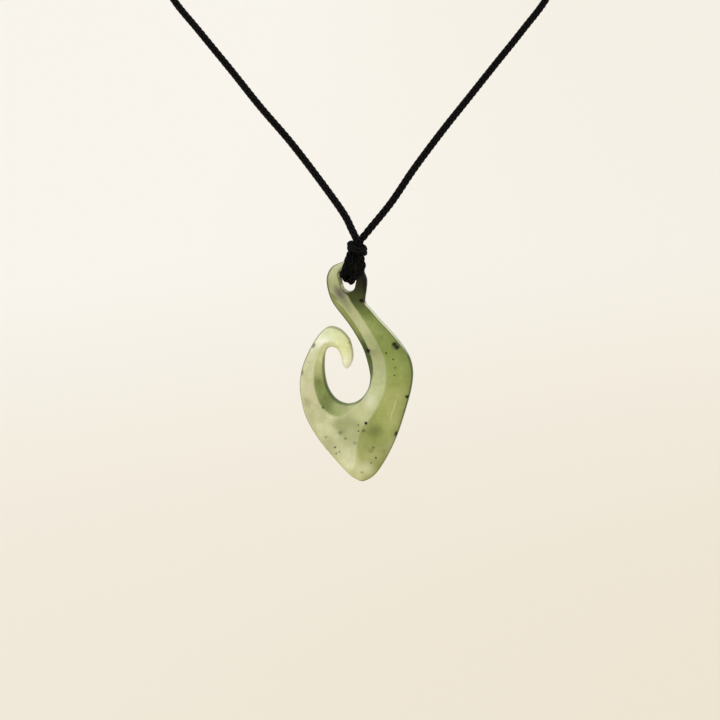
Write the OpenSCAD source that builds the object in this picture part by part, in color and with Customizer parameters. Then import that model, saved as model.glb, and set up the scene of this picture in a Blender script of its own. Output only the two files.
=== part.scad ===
// Hei matau pendant: a carved greenstone fish hook, lashed through its eye to a black neck cord.
// Millimetres, +Z up, +X to the viewer's right, the front faces -Y.
// The origin is the neck side of the closing knot, at the back of the neck loop.

/* [Stone] */
// Height of the stone, from the lowest point of the hook to the top of the eye
hook_h = 54.9; // [50:0.1:60]
// Width of the stone across the hook
hook_w = 27.3; // [25:0.1:30]
// Greatest thickness of the stone, front to back
hook_t = 5.2; // [5:0.1:6]
// Turn of the stone about the upright line, to the viewer's left
hook_turn = 8; // [0:1:12]

/* [Eye hole] */
// Width of the eye hole's rounder upper end
hole_w = 4.1; // [4.1:0.05:4.4]
// Width of the eye hole's lower end
hole_low_w = 3.1; // [2.9:0.05:3.3]
// Height of the eye hole
hole_h = 5.7; // [5.5:0.05:6]

/* [Cord] */
// Thickness of the cord
cord_d = 1.5; // [1.3:0.05:1.5]
// Clearance between the cord and what it lies on
lash_gap = 0.12; // [0.1:0.01:0.15]
// Thickness of the closing knot at the nape
nape_d = 4.2; // [3.8:0.1:4.6]
// Length of the closing knot at the nape
nape_len = 9; // [8:0.5:12]

/* [Hidden] */

stone_color = [0.68, 0.72, 0.46];
cord_color = [0.08, 0.08, 0.08];

// The place where the two strands meet, above the stone
hang_point = [0, -128, -104];

// The ribs below are laid out for a stone of this size and stretched to the sizes above
drawn_h = 54.9;
drawn_w = 27.3;
drawn_t = 5.2;
across = hook_w / drawn_w;
upright = hook_h / drawn_h;
thick = hook_t / drawn_t;

// One row per rib, from the barb's tip round the bend and up the shank to the top of the eye.
// Columns: inner edge x, inner edge z, outer edge x, outer edge z, half thickness,
// inner facet line's place across the rib and its share of the half thickness,
// outer facet line's place across the rib and its share of the half thickness.
RIBS = [
    [ -3.0, -31.5,  -2.6, -31.5, 0.4, 0.40, 1.00, 0.60, 1.00],
    [ -3.8, -30.6,  -1.7, -30.4, 0.9, 0.22, 1.00, 0.60, 1.00],
    [ -4.2, -28.6,  -1.2, -28.2, 1.2, 0.20, 1.00, 0.60, 1.00],
    [ -5.0, -26.9,  -1.8, -25.0, 1.5, 0.26, 1.00, 0.62, 0.97],
    [ -5.9, -26.4,  -3.1, -23.0, 1.8, 0.28, 1.00, 0.62, 0.97],
    [ -6.7, -26.3,  -4.8, -21.7, 2.0, 0.28, 1.00, 0.62, 0.97],
    [ -7.3, -26.6,  -6.9, -21.3, 2.1, 0.30, 1.00, 0.62, 0.95],
    [ -7.8, -27.3,  -8.7, -22.4, 2.1, 0.40, 1.00, 0.64, 0.94],
    [ -8.1, -28.5, -10.5, -24.7, 2.1, 0.46, 1.00, 0.74, 0.88],
    [ -8.2, -30.0, -12.2, -27.8, 2.1, 0.46, 1.00, 0.80, 0.82],
    [ -8.2, -31.8, -13.5, -31.1, 2.2, 0.45, 1.00, 0.84, 0.78],
    [ -7.9, -34.0, -14.2, -35.0, 2.2, 0.43, 1.00, 0.86, 0.76],
    [ -7.3, -36.2, -13.9, -39.0, 2.3, 0.43, 1.00, 0.86, 0.76],
    [ -6.0, -38.3, -12.6, -43.8, 2.4, 0.41, 1.00, 0.86, 0.78],
    [ -4.5, -39.5,  -9.1, -49.6, 2.5, 0.32, 1.00, 0.88, 0.78],
    [ -2.8, -40.0,  -3.2, -56.3, 2.5, 0.14, 0.94, 0.90, 0.80],
    [ -2.2, -40.0,  -0.7, -58.3, 2.5, 0.10, 0.88, 0.85, 0.90],
    [ -1.7, -39.9,   1.6, -58.8, 2.5, 0.07, 0.82, 0.51, 1.00],
    [ -0.7, -39.6,   4.9, -56.2, 2.5, 0.05, 0.76, 0.35, 1.00],
    [  0.9, -38.5,   8.9, -48.8, 2.6, 0.04, 0.72, 0.36, 1.00],
    [  2.4, -36.2,  12.0, -39.3, 2.6, 0.04, 0.72, 0.40, 1.00],
    [  2.9, -33.8,  13.1, -34.2, 2.6, 0.07, 0.78, 0.40, 1.00],
    [  2.7, -31.8,  13.1, -31.0, 2.6, 0.12, 0.84, 0.42, 1.00],
    [  2.1, -29.3,  12.3, -28.2, 2.6, 0.16, 0.88, 0.45, 1.00],
    [  1.2, -26.6,  10.4, -25.2, 2.6, 0.18, 0.88, 0.47, 1.00],
    [ -0.1, -24.1,   7.9, -22.2, 2.5, 0.21, 0.88, 0.51, 1.00],
    [ -1.9, -21.2,   5.4, -19.6, 2.5, 0.25, 0.90, 0.56, 1.00],
    [ -3.8, -18.7,   3.4, -17.3, 2.4, 0.27, 0.90, 0.61, 1.00],
    [ -5.4, -16.7,   1.8, -15.5, 2.3, 0.29, 0.90, 0.63, 1.00],
    [ -6.5, -15.0,   1.7, -14.2, 2.1, 0.17, 0.88, 0.57, 1.00],
    [ -7.3, -12.8,   2.0, -12.2, 1.9, 0.10, 0.88, 0.50, 1.00],
    [ -7.7, -10.3,   2.1,  -9.8, 1.9, 0.14, 0.90, 0.60, 1.00],
    [ -7.3,  -8.3,   1.3,  -7.6, 1.9, 0.20, 0.90, 0.64, 1.00],
    [ -6.1,  -6.7,   1.0,  -5.9, 1.7, 0.22, 0.90, 0.66, 1.00],
    [ -3.8,  -5.7,   0.5,  -4.6, 1.3, 0.24, 0.90, 0.70, 1.00],
    [ -2.4,  -5.2,  -0.1,  -4.3, 0.9, 0.24, 0.90, 0.70, 1.00]
];
RIB_STEPS = 4;

// Place across the rib and share of the half thickness, round the plain edges and the domed back
EDGE_SHARE = 0.30;
SHOULDER = [0.05, 0.60];
// How far the flat bands between the facet lines swell, as a share of the half thickness
BAND_CROWN = 0.04;
BACK = [[0.94, -0.62], [0.76, -0.90], [0.50, -1.00], [0.24, -0.90], [0.06, -0.62]];

// The eye hole is egg-shaped, with its narrower end low, and its rim is flared
hole_top = -7.1 * upright;
hole_x = -2.3 * across;
hole_high = [hole_x, hole_top - hole_w / 2];
hole_low = [-2.2 * across, hole_top - hole_h + hole_low_w / 2];
hole_flare = 0.55;
back_flare = 0.45;
hole_flare_shift = [-0.25, 0.5];
HOLE_POINTS = 40;

// The top bar of the eye, which the lashing goes round
bar_top = -4.2 * upright;
bar_face = 1.75 * thick;

// Between which depths each flare widens, and how thin the slices are that it is drawn between
flare_start = bar_face - 0.85;
flare_end = bar_face + 0.45;
flare_slice = 0.02;
hole_depth = 5 * thick;

// Where the lashing's turns lie in the hole, and how far they lean to the right as they rise
cord_r = cord_d / 2;
seat = cord_r + lash_gap;
turn_left = hole_x - seat;
turn_mid = hole_x + seat;
turn_right = 1.3 * across;
turn_lean = 0.28;
turn_face = bar_face + seat;
turn_over = bar_top + seat - 0.1;
turn_in = hole_top - seat - 0.3;
turn_under = turn_in - cord_d - lash_gap;
first_y = turn_face + 0.1;
function leaning(x, y, z) = [x + turn_lean * (z - turn_in), y, z];

// Route of the lashing's centre line, in the stone's own frame: down the right front and into
// the hole, up the back, and then two turns over the bar side by side, with the end at the back
WRAP_ROUTE = [
    [turn_right - 0.5, -first_y + 0.2, bar_top + 0.4],
    [turn_right - 0.2, -first_y, bar_top - 0.6],
    [turn_right, -first_y, bar_top - 2.2],
    [turn_right - 0.4, -first_y, hole_top - 0.6],
    [turn_mid + 1.2, -first_y + 0.1, turn_in - 0.7],
    [turn_mid + 0.2, -1.6, turn_under - 0.3],
    [turn_mid, 0, turn_under - 0.1],
    [turn_mid, 1.7, turn_under + 0.3],
    leaning(turn_mid, turn_face + 0.15, turn_in),
    leaning(turn_mid, turn_face + 0.15, hole_top),
    leaning(turn_mid, turn_face, bar_top - 1.2),
    leaning(turn_mid, 1.4, turn_over - 0.35),
    leaning(turn_mid, 0, turn_over + 0.05),
    leaning(turn_mid, -1.4, turn_over - 0.25),
    leaning(turn_mid, -turn_face, bar_top - 1.2),
    leaning(turn_mid, -turn_face, hole_top),
    leaning(turn_mid - 0.1, -1.9, turn_in + 0.1),
    leaning(hole_x - 0.3, 0, turn_in),
    leaning(turn_left - 0.3, 1.9, turn_in + 0.1),
    leaning(turn_left, turn_face, hole_top),
    leaning(turn_left, turn_face - 0.1, bar_top - 1.5),
    leaning(turn_left, 1.4, turn_over - 0.7),
    leaning(turn_left, 0, turn_over - 0.45),
    leaning(turn_left, -1.4, turn_over - 0.7),
    leaning(turn_left, -turn_face + 0.1, bar_top - 1.5),
    leaning(turn_left, -turn_face, hole_top),
    leaning(turn_left - 0.1, -1.9, turn_in - 0.2),
    [turn_left + 0.1, 0, turn_under + 0.2],
    [turn_left + 0.1, 1.9, turn_under - 0.1],
    [turn_left, turn_face + 0.4, turn_under - 0.2]
];

// The collar knot is an oval ring round the two strands, sloping down to the right, with some room
// for them across and from front to back
collar_x = -0.3;
collar_z = -2.15;
collar_slope = 18;
collar_thick = 0.87 * cord_d;
collar_room_x = 0.3;
collar_room_y = 0.45;
collar_half_x = collar_room_x + cord_r + collar_thick / 2;
collar_half_y = collar_room_y + cord_d + collar_thick / 2;
collar_tall = 1.8;
COLLAR_RINGS = 24;

// Routes of the two strands, from inside the collar knot up and round to the closing knot
CORD_LEFT = [
    [-0.3, -128.9, -106.3], [-0.4, -128.9, -104.4], [-1.7, -125.6, -102.0], [-3.5, -121.0, -99.0],
    [-8.5, -112.0, -93.0], [-16.5, -99.5, -84.0], [-24.5, -88.0, -76.0], [-32.0, -76.0, -68.0],
    [-40.5, -64.0, -59.0], [-48.0, -52.0, -51.0], [-53.0, -39.0, -42.0], [-53.5, -25.0, -31.0],
    [-48.0, -10.0, -18.5], [-36.0, 0.0, -8.5], [-19.0, 4.0, -2.0], [-8.0, 2.3, 0.0],
    [-5.0, 2.1, 0.0], [-1.7, 2.1, 0.0]
];
CORD_RIGHT = [
    [-0.2, -127.1, -106.3], [0.3, -127.1, -104.9], [2.8, -124.8, -102.0], [8.0, -117.0, -96.5],
    [13.5, -107.5, -89.5], [20.5, -96.0, -81.5], [27.5, -85.0, -74.0], [34.5, -74.0, -66.5],
    [41.5, -63.5, -59.0], [48.5, -52.0, -51.0], [53.0, -39.0, -42.0], [53.5, -25.0, -31.0],
    [48.0, -10.0, -18.5], [36.0, 0.0, -8.5], [19.0, 4.0, -2.0], [8.0, 2.3, 0.0],
    [5.0, 2.1, 0.0], [1.7, 2.1, 0.0]
];
CORD_SIDES = 8;
CORD_STEPS = 2;

// Each strand's end lies in a blind socket of the closing knot
socket_d = cord_d + 0.25;
socket_end = 1.6;

// Curves through rows of numbers: every column is eased in the same way
function ease(a, b, c, d, t) =
    b + (c - a) * t / 2 + (2 * a - 5 * b + 4 * c - d) * t * t / 2
    + (3 * b - a - 3 * c + d) * t * t * t / 2;
function curve(rows, steps) =
    let (last = len(rows) - 1)
    [
        for (i = [0 : last - 1])
            for (k = [0 : steps - 1])
                ease(rows[max(i - 1, 0)], rows[i], rows[i + 1], rows[min(i + 2, last)], k / steps),
        rows[last]
    ];

// Faces of a skin over rings with the same number of points, the last ring joined on if closed
function skin_sides(rings, sides, closed) = [
    for (i = [0 : rings - (closed ? 1 : 2)])
        for (k = [0 : sides - 1])
            let (
                a = i * sides + k,
                b = i * sides + (k + 1) % sides,
                c = ((i + 1) % rings) * sides + (k + 1) % sides,
                d = ((i + 1) % rings) * sides + k
            )
            each [[a, b, c], [a, c, d]]
];
function skin_ends(rings, sides) = [
    [for (k = [sides - 1 : -1 : 0]) k],
    [for (k = [0 : sides - 1]) (rings - 1) * sides + k]
];

// A rib's outline across the stone: front from the inner edge to the outer edge, then the back
function rib_outline(row) =
    let (
        inner = [row[0] * across, row[1] * upright],
        outer = [row[2] * across, row[3] * upright],
        half = row[4] * thick,
        line_in = row[5], high_in = row[6], line_out = row[7], high_out = row[8],
        front = [
            [0, EDGE_SHARE],
            [min(SHOULDER[0], line_in / 2), SHOULDER[1] * high_in],
            [line_in, high_in],
            [(line_in + line_out) / 2, (high_in + high_out) / 2 + BAND_CROWN],
            [line_out, high_out],
            [(line_out + 1) / 2, (high_out + SHOULDER[1]) / 2 + BAND_CROWN],
            [1 - SHOULDER[0], SHOULDER[1]],
            [1, EDGE_SHARE]
        ],
        outline = concat(front, [[1, -EDGE_SHARE]], BACK, [[0, -EDGE_SHARE]])
    )
    [
        for (p = outline)
            let (spot = inner + (outer - inner) * p[0])
            [spot[0], -half * p[1], spot[1]]
    ];

// Rings of a round cord about its route; side_hint is never along the route
function unit(v) = v / norm(v);
function heading(path, i, closed) =
    let (n = len(path))
    closed
        ? unit(path[(i + 1) % n] - path[(i + n - 1) % n])
        : unit(path[min(i + 1, n - 1)] - path[max(i - 1, 0)]);
function cord_rings(path, half_w, half_t, side_hint, closed = false) = [
    for (i = [0 : len(path) - 1])
        let (
            along = heading(path, i, closed),
            out = unit(cross(along, side_hint)),
            up = cross(out, along)
        )
        for (k = [0 : CORD_SIDES - 1])
            let (turn = (k + 0.5) * 360 / CORD_SIDES)
            path[i] + out * half_w * cos(turn) + up * half_t * sin(turn)
];

// The oval route of the collar knot
function collar_route() = [
    for (i = [0 : COLLAR_RINGS - 1])
        let (turn = i * 360 / COLLAR_RINGS)
        [
            collar_x + collar_half_x * cos(turn),
            collar_half_y * sin(turn),
            collar_z - collar_half_x * cos(turn) * tan(collar_slope)
        ]
];

module cord_tube(path, side_hint) {
    rings = len(path);
    polyhedron(
        points = cord_rings(path, cord_r, cord_r, side_hint),
        faces = concat(skin_ends(rings, CORD_SIDES), skin_sides(rings, CORD_SIDES, false))
    );
}

module stone_blank() {
    rows = curve(RIBS, RIB_STEPS);
    outlines = [for (row = rows) rib_outline(row)];
    sides = len(outlines[0]);
    polyhedron(
        points = [for (outline = outlines) each outline],
        faces = concat(skin_ends(len(rows), sides), skin_sides(len(rows), sides, false))
    );
}

// The eye hole's outline, grown all round: the outer side of two round ends
function hole_outline(grow) = [
    for (i = [0 : HOLE_POINTS - 1])
        let (
            turn = i * 360 / HOLE_POINTS,
            way = [cos(turn), sin(turn)],
            high = hole_high + way * (hole_w / 2 + grow),
            low = hole_low + way * (hole_low_w / 2 + grow)
        )
        high * way > low * way ? high : low
];

module hole_slice(place, deep, grow, shift = [0, 0]) {
    translate([shift[0], place, shift[1]]) rotate([90, 0, 0])
        linear_extrude(deep, center = true) polygon(hole_outline(grow));
}

// The eye hole, with its rim flared at the back, and at the front but for its lower side
module eye_hole() {
    hole_slice(0, hole_depth, 0);
    for (face = [-1, 1])
        hull() {
            hole_slice(face * flare_start, flare_slice, 0);
            hole_slice(
                face * flare_end, flare_slice,
                face < 0 ? hole_flare : back_flare,
                face < 0 ? hole_flare_shift : [0, 0]
            );
        }
}

module at_hang_point() {
    translate(hang_point) rotate([0, 0, -hook_turn]) children();
}

module hook() {
    color(stone_color) at_hang_point() difference() {
        stone_blank();
        eye_hole();
    }
}

module eye_wraps() {
    color(cord_color) at_hang_point() cord_tube(curve(WRAP_ROUTE, CORD_STEPS), [1, 0, 0]);
}

module collar_knot() {
    path = collar_route();
    color(cord_color) translate(hang_point)
        polyhedron(
            points = cord_rings(path, collar_thick / 2, collar_tall / 2, [0, 0, 1], true),
            faces = skin_sides(len(path), CORD_SIDES, true)
        );
}

module cord_left() {
    color(cord_color) cord_tube(curve(CORD_LEFT, CORD_STEPS), [0, 1, 0]);
}

module cord_right() {
    color(cord_color) cord_tube(curve(CORD_RIGHT, CORD_STEPS), [0, 1, 0]);
}

module nape_knot() {
    color(cord_color) translate([0, nape_d / 2, 0]) rotate([0, 90, 0]) difference() {
        cylinder(d = nape_d, h = nape_len, center = true, $fn = 32);
        for (end = [0, 180])
            rotate([end, 0, 0]) translate([0, 0, socket_end])
                cylinder(d = socket_d, h = nape_len, $fn = 32);
    }
}

hook();
eye_wraps();
collar_knot();
cord_left();
cord_right();
nape_knot();
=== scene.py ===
import math

import bmesh
import bpy
import numpy as np
from mathutils import Matrix, Vector
from mathutils.bvhtree import BVHTree
from mathutils.interpolate import poly_3d_calc


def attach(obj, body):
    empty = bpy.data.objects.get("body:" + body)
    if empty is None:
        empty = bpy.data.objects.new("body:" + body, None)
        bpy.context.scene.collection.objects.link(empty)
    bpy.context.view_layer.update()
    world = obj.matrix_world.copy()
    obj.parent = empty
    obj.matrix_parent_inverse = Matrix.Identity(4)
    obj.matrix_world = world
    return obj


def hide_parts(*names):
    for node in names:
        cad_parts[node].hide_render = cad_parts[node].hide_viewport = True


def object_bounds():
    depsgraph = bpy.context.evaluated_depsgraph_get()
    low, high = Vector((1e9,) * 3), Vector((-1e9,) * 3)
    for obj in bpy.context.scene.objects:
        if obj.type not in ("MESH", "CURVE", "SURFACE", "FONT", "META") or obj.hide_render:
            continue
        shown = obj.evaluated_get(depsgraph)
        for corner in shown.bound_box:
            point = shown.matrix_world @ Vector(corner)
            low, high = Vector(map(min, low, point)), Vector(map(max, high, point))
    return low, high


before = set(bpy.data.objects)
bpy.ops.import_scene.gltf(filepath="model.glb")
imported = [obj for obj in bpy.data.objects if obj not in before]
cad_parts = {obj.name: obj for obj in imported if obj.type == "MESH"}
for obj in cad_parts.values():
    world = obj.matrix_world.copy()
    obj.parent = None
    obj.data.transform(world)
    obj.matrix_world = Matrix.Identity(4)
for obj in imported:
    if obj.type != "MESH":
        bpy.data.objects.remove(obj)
cad_low, cad_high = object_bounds()

# A fish hook carved in greenstone, lashed to a plaited neck cord and hung as a neck holds it
MM = 0.001

# Camera: 9 degrees above level, as in the photograph, and far enough away for a long lens
CAMERA_AIM = Vector((0.00036, -0.128, -0.1334))
CAMERA_DISTANCE = 0.9
CAMERA_RISE = math.radians(9)
CAMERA_LENS = 187.5
CAMERA_CLIP = (0.05, 30)

# Where the two strands meet above the stone, and the stone's turn about the upright line
HANG_POINT = Vector((0, -0.128, -0.104))
HOOK_TURN = math.radians(-8)
STONE_FRAME = Matrix.Translation(HANG_POINT) @ Matrix.Rotation(HOOK_TURN, 4, "Z")

# Routes of the two strands, from inside the collar knot up and round to the closing knot at the nape,
# where the left side mirrors the right one
NAPE_SIDE = [
    (0.0530, -0.0390, -0.0420), (0.0535, -0.0250, -0.0310), (0.0480, -0.0100, -0.0185),
    (0.0360, 0.0000, -0.0085), (0.0190, 0.0040, -0.0020), (0.0080, 0.0023, 0.0000),
    (0.0050, 0.0021, 0.0000), (0.0017, 0.0021, 0.0000),
]
CORD_LEFT = [
    (-0.0003, -0.1289, -0.1063), (-0.0004, -0.1289, -0.1044), (-0.0017, -0.1256, -0.1020),
    (-0.0035, -0.1210, -0.0990), (-0.0085, -0.1120, -0.0930), (-0.0165, -0.0995, -0.0840),
    (-0.0245, -0.0880, -0.0760), (-0.0320, -0.0760, -0.0680), (-0.0405, -0.0640, -0.0590),
    (-0.0480, -0.0520, -0.0510), *((-x, y, z) for x, y, z in NAPE_SIDE),
]
CORD_RIGHT = [
    (-0.0002, -0.1271, -0.1063), (0.0003, -0.1271, -0.1049), (0.0028, -0.1248, -0.1020),
    (0.0080, -0.1170, -0.0965), (0.0135, -0.1075, -0.0895), (0.0205, -0.0960, -0.0815),
    (0.0275, -0.0850, -0.0740), (0.0345, -0.0740, -0.0665), (0.0415, -0.0635, -0.0590),
    (0.0485, -0.0520, -0.0510), *NAPE_SIDE,
]
CORD_D = 0.0015
LASH_GAP = 0.00012
ROUTE_STEPS = 8


def make_camera():
    lens = bpy.data.cameras.new("camera")
    lens.lens = CAMERA_LENS
    lens.sensor_width = 36
    lens.clip_start, lens.clip_end = CAMERA_CLIP
    camera = bpy.data.objects.new("camera", lens)
    back = Vector((0, -math.cos(CAMERA_RISE), math.sin(CAMERA_RISE)))
    camera.location = CAMERA_AIM + back * CAMERA_DISTANCE
    camera.rotation_euler = (-back).to_track_quat("-Z", "Y").to_euler()
    bpy.context.scene.collection.objects.link(camera)
    bpy.context.scene.camera = camera


make_camera()


def eased(rows, steps):
    """Points on a smooth curve through rows of numbers, with so many steps from row to row."""
    rows = np.array(rows, float)
    last = len(rows) - 1
    made = []
    for i in range(last):
        a, b, c, d = (rows[min(max(i + k, 0), last)] for k in (-1, 0, 1, 2))
        for k in range(steps):
            t = k / steps
            made.append(
                b + (c - a) * t / 2 + (2 * a - 5 * b + 4 * c - d) * t * t / 2
                + (3 * b - a - 3 * c + d) * t * t * t / 2
            )
    made.append(rows[last])
    return np.array(made)


def put(tree, kind, inputs=(), output=0, **settings):
    """Adds a node, fills its inputs with values or links, and gives back one of its outputs."""
    node = tree.nodes.new(kind)
    for name, value in settings.items():
        setattr(node, name, value)
    for place, value in dict(inputs).items():
        if isinstance(value, bpy.types.NodeSocket):
            tree.links.new(value, node.inputs[place])
        else:
            node.inputs[place].default_value = value
    return node.outputs[output]


def work(tree, operation, first, second=0.0, third=0.0, clamp=False):
    """A Math node."""
    return put(
        tree, "ShaderNodeMath", {0: first, 1: second, 2: third}, operation=operation, use_clamp=clamp
    )


def vector_work(tree, operation, first, second=(0, 0, 0), output=0):
    """A Vector Math node."""
    return put(tree, "ShaderNodeVectorMath", {0: first, 1: second}, output, operation=operation)


def scaled(tree, vector, factor):
    """A vector times a number."""
    return put(tree, "ShaderNodeVectorMath", {0: vector, "Scale": factor}, operation="SCALE")


def new_tree(name, kind, inputs, outputs):
    """A node group with named inputs, each with its default value, and named outputs."""
    tree = bpy.data.node_groups.new(name, kind)
    for label, (socket, value) in inputs.items():
        made = tree.interface.new_socket(name=label, in_out="INPUT", socket_type=socket)
        if value is not None:
            made.default_value = value
    for label, socket in outputs.items():
        tree.interface.new_socket(name=label, in_out="OUTPUT", socket_type=socket)
    given = tree.nodes.new("NodeGroupInput").outputs
    result = tree.nodes.new("NodeGroupOutput").inputs
    return tree, given, result


NUMBER = "NodeSocketFloat"
VECTOR = "NodeSocketVector"
SHAPE = "NodeSocketGeometry"


# The round plait that the whole cord is made of
STRANDS = 8
PLAIT_PITCH = 0.0072
PLAIT_RADIUS = 0.00049
PLAIT_DEPTH = 0.000025
STRAND_WIDTH = 0.00088
STRAND_THICKNESS = 0.00044
STRAND_SIDES = 8
PLAIT_STEPS = 20.0


def plait_tree():
    """Strands about a line: half of them wind each way, and each passes over and under the others."""
    tree, given, result = new_tree(
        "round plait",
        "GeometryNodeTree",
        {
            "Line": (SHAPE, None),
            "Pitch": (NUMBER, PLAIT_PITCH),
            "Plait radius": (NUMBER, PLAIT_RADIUS),
            "Weave depth": (NUMBER, PLAIT_DEPTH),
            "Strand width": (NUMBER, STRAND_WIDTH),
            "Strand thickness": (NUMBER, STRAND_THICKNESS),
            "Steps a turn": (NUMBER, PLAIT_STEPS),
            "Material": ("NodeSocketMaterial", None),
        },
        {"Plait": SHAPE},
    )
    line = put(tree, "GeometryNodeMeshToCurve", {0: given["Line"]})
    step = work(tree, "DIVIDE", given["Pitch"], given["Steps a turn"])
    line = put(tree, "GeometryNodeResampleCurve", {"Curve": line, "Length": step}, mode="LENGTH")
    line = put(tree, "GeometryNodeSetCurveNormal", {"Curve": line}, mode="MINIMUM_TWIST")
    copies = put(
        tree, "GeometryNodeDuplicateElements", {"Geometry": line, "Amount": STRANDS}, domain="SPLINE"
    ).node.outputs
    number = copies["Duplicate Index"]

    # Even strands wind one way and odd ones the other, each starting a little further round
    parity = work(tree, "MODULO", number, 2.0)
    way = work(tree, "MULTIPLY_ADD", parity, -2.0, 1.0)
    along = put(tree, "GeometryNodeSplineParameter", output="Length")
    turn = work(tree, "MULTIPLY", work(tree, "DIVIDE", along, given["Pitch"]), math.tau)
    angle = work(tree, "MULTIPLY_ADD", turn, way, work(tree, "MULTIPLY", number, math.tau / STRANDS))
    rise = work(tree, "MULTIPLY", work(tree, "SINE", work(tree, "MULTIPLY", turn, STRANDS / 2)), way)
    reach = work(tree, "MULTIPLY_ADD", rise, given["Weave depth"], given["Plait radius"])
    side = put(tree, "GeometryNodeInputNormal")
    tangent = put(tree, "GeometryNodeInputTangent")
    other = vector_work(tree, "CROSS_PRODUCT", tangent, side)
    outward = vector_work(
        tree, "ADD",
        scaled(tree, side, work(tree, "COSINE", angle)),
        scaled(tree, other, work(tree, "SINE", angle)),
    )
    held = tree.nodes.new("GeometryNodeCaptureAttribute")
    held.domain = "POINT"
    held.capture_items.new("VECTOR", "Outward")
    held.capture_items.new("FLOAT", "Along")
    tree.links.new(copies["Geometry"], held.inputs["Geometry"])
    tree.links.new(outward, held.inputs["Outward"])
    tree.links.new(along, held.inputs["Along"])
    strands = put(
        tree, "GeometryNodeSetPosition",
        {"Geometry": held.outputs["Geometry"], "Offset": scaled(tree, held.outputs["Outward"], reach)},
    )
    strands = put(
        tree, "GeometryNodeSetCurveNormal",
        {"Curve": strands, "Normal": held.outputs["Outward"]}, mode="FREE",
    )
    strands = put(
        tree, "GeometryNodeStoreNamedAttribute",
        {"Geometry": strands, "Name": "along", "Value": held.outputs["Along"]},
        data_type="FLOAT", domain="POINT",
    )
    ring = put(tree, "GeometryNodeCurvePrimitiveCircle", {"Resolution": STRAND_SIDES, "Radius": 0.5})
    ring_place = put(tree, "GeometryNodeInputPosition")
    ring = put(
        tree, "GeometryNodeStoreNamedAttribute",
        {"Geometry": ring, "Name": "around", "Value": ring_place},
        data_type="FLOAT_VECTOR", domain="POINT",
    )
    size = put(
        tree, "ShaderNodeCombineXYZ", {0: given["Strand width"], 1: given["Strand thickness"], 2: 1.0}
    )
    ring = put(
        tree, "GeometryNodeSetPosition",
        {"Geometry": ring, "Position": vector_work(tree, "MULTIPLY", ring_place, size)},
    )
    skin = put(
        tree, "GeometryNodeCurveToMesh",
        {"Curve": strands, "Profile Curve": ring, "Fill Caps": True},
    )
    skin = put(tree, "GeometryNodeRealizeInstances", {0: skin})
    skin = put(tree, "GeometryNodeSetMaterial", {"Geometry": skin, "Material": given["Material"]})
    tree.links.new(skin, result["Plait"])
    return tree


def plait_sizes(diameter):
    """The plait's sizes for a cord of another diameter."""
    scale = diameter / CORD_D
    return {
        "Pitch": PLAIT_PITCH * scale,
        "Plait radius": PLAIT_RADIUS * scale,
        "Weave depth": PLAIT_DEPTH * scale,
        "Strand width": STRAND_WIDTH * scale,
        "Strand thickness": STRAND_THICKNESS * scale,
    }


def shown(name, mesh):
    """A piece of the scene with its place in its mesh."""
    piece = bpy.data.objects.new(name, mesh)
    bpy.context.scene.collection.objects.link(piece)
    return piece


def settled(piece):
    """The plain mesh that a piece's modifiers make. The piece itself goes."""
    seen = piece.evaluated_get(bpy.context.evaluated_depsgraph_get())
    made = bpy.data.meshes.new_from_object(seen)
    bpy.data.objects.remove(piece)
    return made


def plaited(name, points, diameter=CORD_D, closed=False):
    """A length of cord: the plait that the node tree lays along a line, kept as a plain piece."""
    piece = shown(name + "_line", line_mesh(points, closed))
    modifier = piece.modifiers.new("plait", "NODES")
    modifier.node_group = PLAIT
    values = {"Material": CORD, **plait_sizes(diameter)}
    for item in PLAIT.interface.items_tree:
        if item.item_type == "SOCKET" and item.in_out == "INPUT" and item.name in values:
            modifier[item.identifier] = values[item.name]
    made = settled(piece)
    made.name = name
    made.shade_smooth()
    return shown(name, made)


def line_mesh(points, closed):
    mesh = bpy.data.meshes.new("line")
    count = len(points)
    edges = [(i, (i + 1) % count) for i in range(count if closed else count - 1)]
    mesh.from_pydata([tuple(p) for p in points], edges, [])
    return mesh


def paint(tint):
    """A tint given as it looks on a screen, 0 to 255, as a shader's colour."""
    linear = [
        c / 12.92 if c <= 0.04045 else ((c + 0.055) / 1.055) ** 2.4
        for c in (part / 255 for part in tint)
    ]
    return (*linear, 1.0)


def material(name, finish):
    """A new material, its node tree and its shader, with what is the same all over set on the shader."""
    made = bpy.data.materials.new(name)
    made.use_nodes = True
    shader = made.node_tree.nodes["Principled BSDF"]
    for label, value in finish.items():
        shader.inputs[label].default_value = value
    return made, made.node_tree, shader


def mixed(tree, share, first, second, blend="MIX"):
    """Two colours mixed by a share that may change over the surface."""
    return put(
        tree, "ShaderNodeMix", {0: share, 6: first, 7: second}, 2, data_type="RGBA", blend_type=blend
    )


def fading(tree, value, full, none, change="SMOOTHSTEP"):
    """1 on the one side of a first value, 0 on the other side of a second, and a change between."""
    inputs = {"Value": value, "From Min": none, "From Max": full}
    return put(tree, "ShaderNodeMapRange", inputs, interpolation_type=change)


def mottle_group():
    """Soft patches over a surface, from 0 to 1."""
    tree, given, result = new_tree(
        "mottle",
        "ShaderNodeTree",
        {
            "Place": (VECTOR, None),
            "Scale": (NUMBER, 1.0),
            "Detail": (NUMBER, 3.0),
            "From": (NUMBER, 0.35),
            "To": (NUMBER, 0.65),
        },
        {"Share": NUMBER},
    )
    noise = put(
        tree, "ShaderNodeTexNoise",
        {"Vector": given["Place"], "Scale": given["Scale"], "Detail": given["Detail"]},
    )
    tree.links.new(fading(tree, noise, given["To"], given["From"]), result["Share"])
    return tree


MOTTLE = mottle_group()


def mottle(tree, place, scale, low=0.35, high=0.65, detail=3.0):
    """The mottle group with its own values, in a material."""
    return put(
        tree, "ShaderNodeGroup",
        {"Place": place, "Scale": scale, "Detail": detail, "From": low, "To": high},
        node_tree=MOTTLE,
    )


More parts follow.
